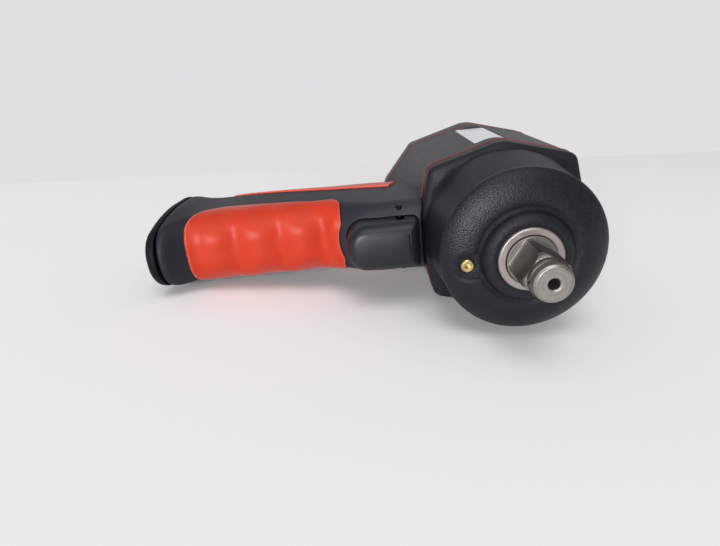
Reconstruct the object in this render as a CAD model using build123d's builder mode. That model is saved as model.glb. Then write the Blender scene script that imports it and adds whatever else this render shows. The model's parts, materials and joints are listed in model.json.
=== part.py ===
from build123d import *
import os
from math import asin, atan2, cos, degrees, hypot, pi, radians, sin

# Air impact wrench with a half-inch square drive, a twin-hammer clutch and a vane motor.
# It is modelled upright in the tool's own directions: X up through the head and away from
# the handle, Y to the rear along the drive axis, Z to the tool's right. The origin is on the
# drive axis at the front face of the anvil bushing. The pieces are laid on the tool's left
# side as they are written, so that the head and the end of the handle rest on the bench.
# Lengths are in millimetres, angles in degrees.

# Fits and gaps
running_gap = 0.05
seat_gap = 0.1
moving_gap = 0.35
axial_gap = 0.3
pick = 0.01

# Square drive and its socket-retaining ring
drive_square = 12.7
drive_length = 21.7
drive_turn = 33.0
drive_corner_radius = 8.2
drive_cone = 1.9
nose_radius = 6.3
nose_round = 0.7
nose_hole_radius = 1.9
nose_hole_depth = 9.0
nose_sink_radius = 2.3
ring_setback = 3.4
ring_width = 2.3
ring_radius = 6.95
ring_wall = 1.45
ring_split = 1.2
cushion_wire = 1.1

# Anvil and bushing
journal_radius = 8.7
journal_lip = 0.8
bushing_radius = 11.4
bushing_length = 22.0
bushing_edge = 0.4
collar_radius = 11.6
core_radius = 8.0
lobe_radius = 11.2
lobe_width = 6.0
lobe_turn = 45.0
pilot_radius = 5.0
pilot_length = 2.2

# Hammer case
case_length = 45.0
case_face = 0.9
boss_face_radius = 13.9
boss_crest_radius = 15.5
boss_depth = 3.7
boss_bevel = 0.4
boss_crest = 1.7
valley_radius = 16.7
valley_width = 0.6
valley_depth = 0.8
valley_round = 0.5
dome_start_radius = 18.5
dome_radius = 30.2
dome_station = 9.2
dome_edge_round = 1.6
dome_groove = 0.7
band_front = 12.2
band_radius = 32.2
flange_front = 36.5
flange_round = 3.0
root_radius = 4.0
band_taper = 21.0
nose_boss_radius = 15.6
nose_boss_length = 24.0
chamber_radius = 25.4
case_wall = 4.8
front_wall = 5.8
fitting_x = -20.9
fitting_z = -2.2
fitting_pocket_radius = 4.9
fitting_pocket_floor = 6.4
fitting_radius = 2.4
fitting_socket = 2.2
fitting_socket_depth = 2.0
fitting_head = 1.0
fitting_edge = 0.4

# Outline of the head, seen along the drive axis: gabled sides, four bolt corners
side_flat = 9.0
head_height = 33.0
corner_x = 29.0
corner_z = 27.3
gable_z = 35.3
gable_round = 14.0
corner_round = 4.5
waist_round = 10.0
flare_height = 44.5
flare_flat = 8.5

# Screws that hold the head together
bolt_x = 23.8
bolt_z = 22.0
bolt_radius = 2.5
bolt_clearance = 0.25
bolt_thread = 7.5
bolt_head_radius = 4.2
bolt_head_height = 5.0
bolt_socket = 4.0
washer_height = 1.2
bolt_sink = 0.8

# Twin-hammer clutch
thrust_washer_height = 0.8
cage_radius = 24.4
cage_plate = 5.0
cage_back = 6.2
cage_play = 1.0
hammer_width = 10.7
hammer_radius = 23.2
hammer_bore = 13.6
hammer_flat = 17.4
hammer_lug_radius = 11.5
hammer_lug_width = 6.0
hammer_rock = 6.0
pin_circle = 19.5
pin_radius = 3.25
strut_half_width = 9.0

# Vane motor
motor_radius = 26.0
motor_lip = 2.0
motor_sink = 1.0
lip_radius = 21.0
end_plate = 6.0
end_web = 1.0
cylinder_length = 32.0
cylinder_bore = 20.4
cylinder_offset = 3.2
rotor_radius = 17.0
shaft_radius = 5.0
spline_radius = 4.7
spline_count = 6
spline_width = 2.2
spline_root = 3.6
vane_count = 6
vane_thickness = 2.2
vane_height = 8.6
slot_depth = 9.0
vane_slot_gap = 0.1
dowel_radius = 1.5
dowel_x = -21.8
port_width = 4.0
port_count = 3
bearing_radius = 11.0
bearing_width = 5.0
ball_radius = 1.5
ball_circle = 8.0
ball_count = 7
race_gap = 1.0
race_play = 0.1

# Gaskets and rear cap
gasket_thickness = 1.0
gasket_proud = 0.25
cap_thickness = 11.0
cap_round = 2.5
cap_rim = 5.0
cap_wall = 4.5

# Reverse valve and its knob
spool_x = -33.2
spool_radius = 5.0
spool_length = 24.0
spool_bore = 2.8
stub_radius = 3.0
stub_flat = 2.2
knob_radius = 8.0
knob_height = 9.0
knob_edge = 0.4
knob_recess = 5.5
knob_grip_width = 3.6
knob_grip_depth = 5.0
knob_screw_radius = 1.5
knob_screw_head = 2.6
knob_screw_length = 7.0

# Handle
handle_foot = 60.0
handle_rake = 5.0
handle_top = 30.0
handle_end = 145.8
cover_thickness = 5.3
cover_gap = 0.6
handle_front = 45.2
handle_side = 15.2
side_taper = 0.6
palm_depth = 24.5
palm_station = 97.0
palm_taper = 5.1
palm_span = 50.0
brow_reach = 9.0
brow_top = 48.0
brow_foot = 76.0
brow_corner = 8.0
grip_corner = 12.0
end_corner = 16.0
flare_length = 21.0
flare_side = 2.1
flare_front = 9.8
flare_taper = 7.5
flare_back = 5.1
end_round = 3.5
section_step = 8.0

# Red rubber grips
grip_depth = 2.2
grip_proud = 0.8
grip_top = -66.0
grip_end_gap = 12.9
grip_edge_top = 52.9
grip_edge_bottom = 62.4
grip_end_round = 18.0
grip_top_round = 6.0
finger_bulge = 0.6
finger_pitch = 18.0
finger_first = 88.0
strip_top = -38.0
strip_end_gap = 24.4
strip_edge_top = 69.5
strip_edge_bottom = 87.5
strip_round = 6.0

# Trigger and throttle
trigger_top = -35.0
trigger_bottom = -64.0
trigger_side = 9.7
trigger_front = 27.0
trigger_depth = 17.0
trigger_end_round = 8.5
trigger_top_round = 1.5
trigger_face_round = 4.0
trigger_wall = 2.4
trigger_face = 6.0
trigger_travel = 6.0
trigger_pin_radius = 1.25
trigger_pin_x = -41.6
trigger_pin_y = 39.5
trigger_pin_half = 13.3
trigger_guard_radius = 18.0
stem_radius = 2.5
stem_boss_radius = 4.6
stem_grip = 9.0
bush_radius = 6.2
bush_length = 12.0
bush_guide = 4.0
bush_throat = 4.4
seal_wire = 1.4
chamber_bore = 7.2
chamber_length = 16.0
valve_radius = 6.0
valve_head = 2.6
valve_face_height = 1.2
spring_radius = 4.6
spring_wire = 0.9
spring_turns = 4.0
transfer_radius = 2.6
transfer_station = 59.0

# Air inlet, exhaust and handle end
inlet_offset = -3.0
inlet_radius = 7.0
bushing_body_radius = 9.4
bushing_engagement = 26.5
inlet_hex = 22.0
inlet_hex_height = 3.4
inlet_thread_radius = 5.7
inlet_thread_length = 14.0
inlet_throat_radius = 4.6
screen_height = 3.0
screen_wall = 0.8
inlet_pin_radius = 1.5
inlet_pin_setback = 19.6
inlet_pin_depth = 5.5
exhaust_near = 8.5
exhaust_far = 17.5
exhaust_half_width = 9.4
exhaust_top = 66.0
duct_inner = 8.9
duct_outer = 12.4
duct_near = -14.0
duct_far = -2.0
duct_foot = 70.0
duct_turn = 46.0
slot_count = 5
slot_width = 1.8
slot_pitch = 3.4
muffler_height = 6.0

# Label plate on the right side
label_width = 13.6
label_front = 52.0
label_rear = 97.0
label_x = -1.3
label_floor = 33.0
label_plate_height = 0.5
label_round = 1.5

# Stations along the drive axis that follow from the lengths above
ring_front = -drive_length + ring_setback
ring_rear = ring_front + ring_width
chamber_front = case_face + boss_depth + front_wall
cage_front = nose_boss_length + thrust_washer_height + axial_gap
front_hammer_station = cage_front + cage_plate + axial_gap
rear_hammer_station = front_hammer_station + hammer_width + axial_gap
cage_back_station = rear_hammer_station + hammer_width + axial_gap
cage_rear = cage_back_station + cage_back
housing_front = case_length + gasket_thickness
lip_front = cage_rear + cage_play
motor_front = lip_front + motor_lip
cylinder_front = motor_front + end_plate
cylinder_rear = cylinder_front + cylinder_length
motor_rear = cylinder_rear + end_plate
housing_rear = motor_rear + motor_sink
cap_front = housing_rear + gasket_thickness
cap_rear = cap_front + cap_thickness
bolt_points = [(x, z) for x in (-bolt_x, bolt_x) for z in (-bolt_z, bolt_z)]
bolt_seat = cap_rear - bolt_sink - bolt_head_height - washer_height
knob_floor = cap_rear - knob_recess
spool_rear = cap_front
spool_front = spool_rear - spool_length
trigger_rear = trigger_front + trigger_depth
trigger_x = (trigger_top + trigger_bottom) / 2
pocket_floor = trigger_rear + trigger_travel + moving_gap
seat_station = pocket_floor + bush_length
chamber_rear = seat_station + chamber_length
handle_bottom = handle_end - cover_thickness
grip_bottom = grip_end_gap - handle_end
strip_bottom = strip_end_gap - handle_end
inlet_pin_station = handle_bottom - inlet_pin_setback
cylinder_radius = motor_radius - seat_gap
cushion_radius = ring_radius - ring_wall - cushion_wire / 2
groove_radius = cushion_radius - cushion_wire / 2

# The bench touches the rounded gable of the head and the rounded end of the handle
gable_slope = atan2(gable_z - corner_z, corner_x)
gable_centre = gable_z - gable_round / cos(gable_slope)
end_half_width = handle_side + flare_side
reach = (handle_end - end_round) * cos(radians(handle_rake))
drop = gable_centre - (end_half_width - end_round)
lay_angle = degrees(atan2(drop, reach) + asin((gable_round - end_round) / hypot(drop, reach)))
laid_down = Location((0, 0, 0), (0, -lay_angle, 0))

os.makedirs("parts", exist_ok=True)


def save(piece, label):
    """Lay a finished piece down on the tool's left side and write it."""
    laid = piece.part.moved(laid_down)
    laid.label = label
    export_step(laid, f"parts/{label}.step")


def across(y, x=0.0, z=0.0):
    """A plane square to the drive axis at station y, facing the rear."""
    return Plane(origin=(x, y, z), x_dir=(1, 0, 0), z_dir=(0, 1, 0))


def rod(front, rear, radius, x=0.0, z=0.0, mode=Mode.ADD):
    """A cylinder along the drive direction, in the part that is being built."""
    with Locations(across(front, x, z)):
        Cylinder(radius, rear - front, align=(Align.CENTER, Align.CENTER, Align.MIN), mode=mode)


def block(low, high, mode=Mode.ADD):
    """A box between two corners, in the part that is being built."""
    size = [b - a for a, b in zip(low, high)]
    with Locations([tuple((a + b) / 2 for a, b in zip(low, high))]):
        Box(*size, mode=mode)


def turned_face(*points):
    """A closed face of (radius, station) points, to be turned about the drive axis."""
    with BuildSketch(Plane.XY) as face:
        with BuildLine():
            Polyline(*points, close=True)
        make_face()
    return face.sketch


def wire_face(radius, station, wire):
    """A round section at a radius and station, to be turned into a ring."""
    with BuildSketch(Plane.XY) as face:
        with Locations((radius, station)):
            Circle(wire / 2)
    return face.sketch


def head_outline(y, underside, flat, grow):
    """The head's outline at station y, with its underside towards the handle at a given depth."""
    upper = [(head_height, side_flat), (corner_x, corner_z), (0, gable_z)]
    lower = [(-corner_x, corner_z), (-underside, flat)]
    right = upper + lower
    left = [(x, -z) for x, z in reversed(right)]
    with BuildSketch(across(y)) as face:
        with BuildLine():
            Polyline(*right, *left, close=True)
        make_face()
        fillet([v for v in face.vertices() if abs(v.X) < 1], gable_round)
        fillet([v for v in face.vertices() if abs(abs(v.X) - corner_x) < pick], corner_round)
        tips = [v for v in face.vertices() if v.X > head_height - pick or v.X < pick - underside]
        fillet(tips, waist_round * min(flat / side_flat, 1))
        if grow:
            offset(amount=grow)
    return face.sketch


def plain_outline(y, grow=0.0):
    """The head's outline where the hammer case and the housing meet."""
    return head_outline(y, head_height, side_flat, grow)


def flared_outline(y, grow=0.0):
    """The head's outline at the rear, deepened for the reverse valve."""
    return head_outline(y, flare_height, flare_flat, grow)


def smooth(u):
    """A soft step from 0 to 1."""
    u = min(max(u, 0.0), 1.0)
    return u * u * (3 - 2 * u)


def handle_plane(s, forward=0.0, side=0.0):
    """A plane square to the handle's centre line, s from the drive axis; its x points forward."""
    rake = radians(handle_rake)
    down = Vector(-cos(rake), sin(rake), 0)
    ahead = Vector(-sin(rake), -cos(rake), 0)
    origin = Vector(0, handle_foot, 0) + down * s + ahead * forward + Vector(0, 0, side)
    return Plane(origin=origin, x_dir=ahead, z_dir=down)


handle_axis = Axis(handle_plane(0).origin, handle_plane(0).z_dir)


def handle_section(s, grow=0.0, bulge=0.0):
    """The handle's section at s, drawn in towards the front, with its skin moved out by grow."""
    flare = smooth((s - handle_end) / flare_length + 1)
    brow = smooth((brow_foot - s) / (brow_foot - brow_top))
    centre = handle_foot + s * sin(radians(handle_rake))
    wave = bulge * cos(2 * pi * (s - finger_first) / finger_pitch)
    front = centre - handle_front + brow_reach * brow + flare_front * flare + grow + wave
    swell = palm_depth - palm_taper * ((s - palm_station) / palm_span) ** 2
    back = swell + flare_back * flare + grow
    side = handle_side + flare_side * flare + grow
    narrow = side - side_taper - flare_taper * flare
    front_corner = grip_corner + (brow_corner - grip_corner) * brow + grow
    back_corner = front_corner + (end_corner - grip_corner) * flare
    with BuildSketch(handle_plane(s)) as face:
        with BuildLine():
            Polyline((0, side), (-back, side), (-back, -side), (0, -side))
            TangentArc((0, side), (front, narrow), tangent=(1, 0))
            Line((front, narrow), (front, -narrow))
            TangentArc((0, -side), (front, -narrow), tangent=(1, 0))
        make_face()
        fillet(face.vertices().group_by(Axis.X)[-1], front_corner)
        fillet(face.vertices().group_by(Axis.X)[0], back_corner)
    return face.sketch


def handle_sections(top, bottom, step, grow=0.0, bulge=0.0):
    """Evenly spaced sections of the handle, for a loft."""
    count = max(2, round((bottom - top) / step))
    return [handle_section(top + (bottom - top) * i / count, grow, bulge) for i in range(count + 1)]


def handle_bore(top, bottom, radius, forward=0.0, side=0.0, mode=Mode.SUBTRACT):
    """A round bore along the handle."""
    with Locations(handle_plane(top, forward, side)):
        Cylinder(radius, bottom - top, align=(Align.CENTER, Align.CENTER, Align.MIN), mode=mode)


def handle_duct(top, bottom, near, far, inner, outer, mode=Mode.SUBTRACT):
    """A rectangular duct along the handle, between two depths and two sides."""
    with Locations(handle_plane(top, (near + far) / 2, (inner + outer) / 2)):
        Box(
            far - near,
            outer - inner,
            bottom - top,
            align=(Align.CENTER, Align.CENTER, Align.MIN),
            mode=mode,
        )


def spline_section(y, grow=0.0):
    """The splined section that joins the rotor to the hammer cage."""
    with BuildSketch(across(y)) as face:
        with PolarLocations(0, spline_count):
            Rectangle(spline_radius + grow, spline_width + 2 * grow, align=(Align.MIN, Align.CENTER))
        Circle(spline_root + grow)
    return face.sketch


# Anvil: square drive, journal, striking lobes and rear pilot in one forging
with BuildPart() as anvil:
    with BuildSketch(across(-drive_length)):
        Rectangle(drive_square, drive_square, rotation=drive_turn)
    extrude(amount=drive_length)
    tip = -drive_length
    turned = turned_face(
        (0, tip),
        (nose_radius - nose_round, tip),
        (nose_radius, tip + nose_round),
        (nose_radius, ring_rear),
        (ring_radius, ring_rear),
        (drive_corner_radius, ring_rear + drive_cone),
        (drive_corner_radius, 0),
        (0, 0),
    )
    revolve(turned, axis=Axis.Y, mode=Mode.INTERSECT)
    groove = turned_face(
        (groove_radius, ring_front),
        (drive_square, ring_front),
        (drive_square, ring_rear),
        (groove_radius, ring_rear),
    )
    revolve(groove, axis=Axis.Y, mode=Mode.SUBTRACT)
    rod(-journal_lip, nose_boss_length, journal_radius)
    rod(nose_boss_length, cage_front + cage_plate, collar_radius)
    rod(cage_front + cage_plate, cage_back_station, core_radius)
    with BuildSketch(across(cage_front + cage_plate)):
        Circle(lobe_radius)
        Rectangle(2 * lobe_radius, lobe_width, rotation=lobe_turn, mode=Mode.INTERSECT)
    extrude(amount=cage_back_station - cage_front - cage_plate)
    rod(cage_back_station, cage_back_station + pilot_length, pilot_radius)
    hole = turned_face(
        (0, tip),
        (nose_sink_radius, tip),
        (nose_hole_radius, tip + nose_sink_radius - nose_hole_radius),
        (nose_hole_radius, tip + nose_hole_depth),
        (0, tip + nose_hole_depth + nose_hole_radius / 2),
    )
    revolve(hole, axis=Axis.Y, mode=Mode.SUBTRACT)
save(anvil, "anvil")

# Friction ring: a split steel ring that grips the socket, on a rubber cushion
with BuildPart() as friction_ring:
    band = turned_face(
        (ring_radius - ring_wall, ring_front + seat_gap),
        (ring_radius - ring_wall / 3, ring_front + seat_gap),
        (ring_radius, ring_front + ring_width / 3),
        (ring_radius, ring_rear - ring_width / 3),
        (ring_radius - ring_wall / 3, ring_rear - seat_gap),
        (ring_radius - ring_wall, ring_rear - seat_gap),
    )
    revolve(band, axis=Axis.Y)
    block((-ring_radius, ring_front, -ring_split / 2), (0, ring_rear, ring_split / 2), mode=Mode.SUBTRACT)
save(friction_ring, "friction_ring")

with BuildPart() as ring_cushion:
    revolve(wire_face(cushion_radius, (ring_front + ring_rear) / 2, cushion_wire), axis=Axis.Y)
save(ring_cushion, "ring_cushion")

# Anvil bushing, pressed into the nose of the case
with BuildPart() as anvil_bushing:
    rod(0, bushing_length, bushing_radius)
    rod(0, bushing_length, journal_radius + running_gap, mode=Mode.SUBTRACT)
    chamfer(anvil_bushing.edges().group_by(Axis.Y)[0], bushing_edge)
save(anvil_bushing, "anvil_bushing")

# Flange of the case, rounded in front, and the hollow root that joins its corners to the band
with BuildPart() as flange:
    extrude(plain_outline(flange_front), amount=case_length - flange_front)
    fillet(flange.faces().sort_by(Axis.Y)[0].edges(), flange_round)

with BuildPart() as flange_root:
    with BuildSketch(Plane.XY):
        with BuildLine():
            Polyline(
                (band_radius + root_radius, flange_front),
                (chamber_radius, flange_front),
                (chamber_radius, flange_front - root_radius),
                (band_radius, flange_front - root_radius),
            )
            RadiusArc(
                (band_radius, flange_front - root_radius),
                (band_radius + root_radius, flange_front),
                root_radius,
            )
        make_face()
    revolve(axis=Axis.Y)
    extrude(plain_outline(flange_front, -flange_round), amount=-root_radius, mode=Mode.INTERSECT)

# Pocket for the grease fitting, open towards the valley round the nose boss
with BuildPart() as fitting_pocket:
    rod(0, fitting_pocket_floor, fitting_pocket_radius, fitting_x, fitting_z)
    block(
        (fitting_x, 0, fitting_z - fitting_pocket_radius),
        (-valley_radius, fitting_pocket_floor, fitting_z + fitting_pocket_radius),
    )
    rod(0, fitting_pocket_floor, valley_radius, mode=Mode.SUBTRACT)

# Hammer case: a domed casting with a boss round the bushing, a flared band and a bolted flange
with BuildPart() as hammer_case:
    dome_front = case_face + boss_depth
    valley_floor = dome_front + valley_depth
    groove_station = band_front - 2 * dome_groove
    with BuildSketch(Plane.XY):
        with BuildLine():
            Polyline(
                (0, case_face),
                (boss_face_radius, case_face + boss_bevel),
                (boss_crest_radius, case_face + boss_crest),
                (valley_radius, valley_floor),
                (valley_radius + valley_width, valley_floor),
                (dome_start_radius, dome_front),
            )
            TangentArc((dome_start_radius, dome_front), (dome_radius, dome_station), tangent=(1, 0))
            Polyline(
                (dome_radius, dome_station),
                (dome_radius, groove_station),
                (dome_radius - dome_groove, groove_station + dome_groove),
                (dome_radius - dome_groove, band_front),
                (band_radius, band_front + band_taper),
                (band_radius, case_length),
                (0, case_length),
                (0, case_face),
            )
        make_face()
    revolve(axis=Axis.Y)
    rim = [e for e in hammer_case.edges() if abs(e.center().Y - dome_station) < pick]
    fillet(rim, dome_edge_round)
    valley = [e for e in hammer_case.edges() if abs(e.center().Y - valley_floor) < pick]
    fillet(valley, valley_round)
    add(flange.part)
    add(flange_root.part)
    rod(0, nose_boss_length, bushing_radius, mode=Mode.SUBTRACT)
    rod(bushing_length, nose_boss_length, collar_radius + axial_gap, mode=Mode.SUBTRACT)
    pocket = turned_face(
        (nose_boss_radius, chamber_front),
        (chamber_radius - case_wall, chamber_front),
        (chamber_radius, dome_station + case_wall),
        (chamber_radius, nose_boss_length),
        (nose_boss_radius, nose_boss_length),
    )
    revolve(pocket, axis=Axis.Y, mode=Mode.SUBTRACT)
    rod(nose_boss_length, case_length, chamber_radius, mode=Mode.SUBTRACT)
    for x, z in bolt_points:
        rod(case_length - bolt_thread, case_length, bolt_radius, x, z, mode=Mode.SUBTRACT)
    add(fitting_pocket.part, mode=Mode.SUBTRACT)
    rod(0, nose_boss_length, fitting_radius, fitting_x, fitting_z, mode=Mode.SUBTRACT)
save(hammer_case, "hammer_case")

# Grease fitting: a brass plug with a hexagon socket, sunk in its pocket
with BuildPart() as grease_fitting:
    fitting_front = fitting_pocket_floor - fitting_head
    rod(fitting_front, chamber_front, fitting_radius, fitting_x, fitting_z)
    chamfer(grease_fitting.edges().group_by(Axis.Y)[0], fitting_edge)
    with BuildSketch(across(fitting_front, fitting_x, fitting_z)):
        RegularPolygon(fitting_socket / 2, 6)
    extrude(amount=fitting_socket_depth, mode=Mode.SUBTRACT)
save(grease_fitting, "grease_fitting")

# Thrust washer between the nose boss and the hammer cage
with BuildPart() as thrust_washer:
    rod(nose_boss_length, nose_boss_length + thrust_washer_height, nose_boss_radius)
    rod(
        nose_boss_length,
        nose_boss_length + thrust_washer_height,
        collar_radius + axial_gap,
        mode=Mode.SUBTRACT,
    )
save(thrust_washer, "thrust_washer")

# Hammer cage: two plates joined by struts beside the hammers, splined to the rotor behind
with BuildPart() as hammer_cage:
    rod(cage_front, cage_front + cage_plate, cage_radius)
    rod(cage_back_station, cage_rear, cage_radius)
    strut_swing = (pin_circle + strut_half_width) * sin(radians(hammer_rock))
    strut_inner = hammer_flat + strut_swing + moving_gap
    with BuildSketch(across(cage_front)):
        Circle(cage_radius)
        Rectangle(2 * strut_half_width, 2 * cage_radius, mode=Mode.INTERSECT)
        Rectangle(2 * strut_half_width, 2 * strut_inner, mode=Mode.SUBTRACT)
    extrude(amount=cage_rear - cage_front)
    rod(cage_front, cage_front + cage_plate, collar_radius + running_gap, mode=Mode.SUBTRACT)
    pilot_end = cage_back_station + pilot_length + axial_gap
    rod(cage_back_station, pilot_end, pilot_radius + running_gap, mode=Mode.SUBTRACT)
    extrude(spline_section(pilot_end, running_gap), amount=cage_rear - pilot_end, mode=Mode.SUBTRACT)
    for x in (-pin_circle, pin_circle):
        rod(cage_front, cage_rear, pin_radius, x, mode=Mode.SUBTRACT)
save(hammer_cage, "hammer_cage")

# Hammer pins, on which the hammers rock
with BuildPart() as hammer_pins:
    for x in (-pin_circle, pin_circle):
        rod(cage_front, cage_rear, pin_radius, x)
    chamfer(hammer_pins.edges().filter_by(GeomType.CIRCLE), pin_radius / 8)
save(hammer_pins, "hammer_pins")


def hammer_face(station, side):
    """A hammer's outline: it rocks on the pin at side and is notched wide round the other pin."""
    swing = 2 * pin_circle * sin(radians(hammer_rock))
    notch = 2 * (pin_radius + running_gap)
    relief = 2 * (pin_radius + swing + moving_gap)
    depth = hammer_radius
    with BuildSketch(across(station)) as face:
        Circle(hammer_radius)
        Rectangle(2 * hammer_radius, 2 * hammer_flat, mode=Mode.INTERSECT)
        Circle(hammer_bore, mode=Mode.SUBTRACT)
        for lug in (-1, 1):
            with Locations((0, lug * (hammer_lug_radius + hammer_flat) / 2)):
                Rectangle(hammer_lug_width, hammer_flat - hammer_lug_radius)
        with Locations((side * pin_circle, 0)):
            Circle(notch / 2, mode=Mode.SUBTRACT)
        with Locations((side * (pin_circle + depth / 2), 0)):
            Rectangle(depth, notch, mode=Mode.SUBTRACT)
        with Locations((-side * (pin_circle - pin_radius - moving_gap + depth / 2), 0)):
            Rectangle(depth, relief, mode=Mode.SUBTRACT)
    return face.sketch


# The two hammers: each rocks on one pin and strikes the anvil's lobes with its inner lugs
with BuildPart() as front_hammer:
    extrude(hammer_face(front_hammer_station, 1), amount=hammer_width)
save(front_hammer, "front_hammer")

with BuildPart() as rear_hammer:
    extrude(hammer_face(rear_hammer_station, -1), amount=hammer_width)
save(rear_hammer, "rear_hammer")

# Rotor: slotted for the vanes, splined in front, with a journal for each bearing
with BuildPart() as rotor:
    rod(cylinder_front + seat_gap, cylinder_rear - seat_gap, rotor_radius)
    rod(motor_front, motor_rear, shaft_radius)
    extrude(spline_section(pilot_end + axial_gap), amount=motor_front - pilot_end - axial_gap)
    with BuildSketch(across(cylinder_front)):
        with PolarLocations(rotor_radius, vane_count):
            Rectangle(2 * slot_depth, vane_thickness + 2 * vane_slot_gap)
    extrude(amount=cylinder_length, mode=Mode.SUBTRACT)
save(rotor, "rotor")

# Vanes, at the bottom of their slots as they lie when the motor stands still
with BuildPart() as rotor_vanes:
    with BuildSketch(across(cylinder_front + 2 * seat_gap)):
        with PolarLocations(rotor_radius - slot_depth + seat_gap, vane_count):
            Rectangle(vane_height, vane_thickness, align=(Align.MIN, Align.CENTER))
    extrude(amount=cylinder_length - 4 * seat_gap)
save(rotor_vanes, "rotor_vanes")

# Cylinder: the rotor runs in its offset bore, and air leaves through the slots
with BuildPart() as cylinder:
    rod(cylinder_front, cylinder_rear, cylinder_radius)
    rod(cylinder_front, cylinder_rear, cylinder_bore, cylinder_offset, mode=Mode.SUBTRACT)
    rod(cylinder_front, cylinder_rear, dowel_radius, dowel_x, mode=Mode.SUBTRACT)
    port_pitch = cylinder_length / (port_count + 1)
    for i in range(port_count):
        y = cylinder_front + port_pitch * (i + 1)
        block(
            (cylinder_offset - cylinder_bore / 2, y - port_width / 2, -cylinder_radius),
            (cylinder_offset + cylinder_bore / 2, y + port_width / 2, 0),
            mode=Mode.SUBTRACT,
        )
save(cylinder, "cylinder")

with BuildPart() as cylinder_dowel:
    rod(motor_front + end_plate / 2, motor_rear - end_plate / 2, dowel_radius, dowel_x)
save(cylinder_dowel, "cylinder_dowel")


# End plates close the cylinder and hold the bearings
def end_plate_part(plate_front, web_front, bearing_front):
    """Cut an end plate's bearing seat, shaft hole and dowel hole in the part being built."""
    rod(plate_front, plate_front + end_plate, cylinder_radius)
    rod(bearing_front, bearing_front + bearing_width, bearing_radius, mode=Mode.SUBTRACT)
    rod(web_front, web_front + end_web, shaft_radius + end_web, mode=Mode.SUBTRACT)


with BuildPart() as front_end_plate:
    end_plate_part(motor_front, cylinder_front - end_web, motor_front)
    rod(motor_front + end_plate / 2, cylinder_front, dowel_radius, dowel_x, mode=Mode.SUBTRACT)
save(front_end_plate, "front_end_plate")

with BuildPart() as rear_end_plate:
    end_plate_part(cylinder_rear, cylinder_rear, motor_rear - bearing_width)
    rod(cylinder_rear, motor_rear - end_plate / 2, dowel_radius, dowel_x, mode=Mode.SUBTRACT)
save(rear_end_plate, "rear_end_plate")


def race_ring(station, inner, outer):
    """A bearing ring with its ball groove, in the part that is being built."""
    rod(station, station + bearing_width, outer)
    rod(station, station + bearing_width, inner, mode=Mode.SUBTRACT)
    track = wire_face(ball_circle, station + bearing_width / 2, 2 * (ball_radius + race_play))
    revolve(track, axis=Axis.Y, mode=Mode.SUBTRACT)


# Two ball bearings carry the rotor
for place, station in {"front": motor_front, "rear": motor_rear - bearing_width}.items():
    with BuildPart() as outer_ring:
        race_ring(station, ball_circle + race_gap, bearing_radius)
    save(outer_ring, f"{place}_bearing_outer")

    with BuildPart() as inner_ring:
        race_ring(station, shaft_radius, ball_circle - race_gap)
    save(inner_ring, f"{place}_bearing_inner")

    with BuildPart() as balls:
        with Locations(across(station + bearing_width / 2)):
            with PolarLocations(ball_circle, ball_count):
                Sphere(ball_radius)
    save(balls, f"{place}_bearing_balls")


# Gaskets: thin red sheets that stand a little proud of the joints they seal
with BuildPart() as front_gasket:
    extrude(plain_outline(case_length, gasket_proud), amount=gasket_thickness)
    rod(case_length, housing_front, chamber_radius, mode=Mode.SUBTRACT)
    for x, z in bolt_points:
        rod(case_length, housing_front, bolt_radius + bolt_clearance, x, z, mode=Mode.SUBTRACT)
save(front_gasket, "front_gasket")

with BuildPart() as rear_gasket:
    extrude(flared_outline(housing_rear, gasket_proud), amount=gasket_thickness)
    rod(housing_rear, cap_front, motor_radius, mode=Mode.SUBTRACT)
    rod(housing_rear, cap_front, spool_radius + running_gap, spool_x, mode=Mode.SUBTRACT)
    for x, z in bolt_points:
        rod(housing_rear, cap_front, bolt_radius + bolt_clearance, x, z, mode=Mode.SUBTRACT)
save(rear_gasket, "rear_gasket")


def trigger_outline(y, grow=0.0):
    """The trigger's outline from the front, rounded where the finger comes off it."""
    length = trigger_top - trigger_bottom
    with BuildSketch(across(y, trigger_x)) as face:
        Rectangle(length, 2 * trigger_side)
        fillet(face.vertices().group_by(Axis.X)[0], trigger_end_round)
        fillet(face.vertices().group_by(Axis.X)[-1], trigger_top_round)
        if grow:
            offset(amount=grow)
    return face.sketch


# Pockets for the rubber grips: a window on the handle's side, down to the handle's inner skin
with BuildPart() as front_pocket:
    with BuildSketch(Plane.XY.offset(-2 * handle_side)) as window:
        with BuildLine():
            Polyline(
                (grip_top, trigger_front),
                (grip_top, grip_edge_top),
                (grip_bottom, grip_edge_bottom),
                (grip_bottom, trigger_front),
                close=True,
            )
        make_face()
        fillet(window.vertices().sort_by(Axis.Y)[-1], grip_end_round)
        fillet([v for v in window.vertices() if abs(v.Y - grip_edge_top) < pick], grip_top_round)
    extrude(amount=4 * handle_side)
    rod(trigger_front, grip_edge_bottom, trigger_guard_radius, trigger_x, mode=Mode.SUBTRACT)
    loft(handle_sections(handle_top, handle_bottom, section_step, -grip_depth), mode=Mode.SUBTRACT)

with BuildPart() as back_pocket:
    back_limit = handle_foot + 2 * palm_depth
    with BuildSketch(Plane.XY.offset(-2 * handle_side)) as window:
        with BuildLine():
            Polyline(
                (strip_top, back_limit),
                (strip_top, strip_edge_top + 2 * strip_round),
                (strip_top - strip_round, strip_edge_top),
                (strip_bottom, strip_edge_bottom),
                (strip_bottom, back_limit),
                close=True,
            )
        make_face()
        fillet([v for v in window.vertices() if abs(v.Y - strip_edge_bottom) < pick], strip_round)
    extrude(amount=4 * handle_side)
    loft(handle_sections(handle_top, handle_bottom, section_step, -grip_depth), mode=Mode.SUBTRACT)

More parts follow.
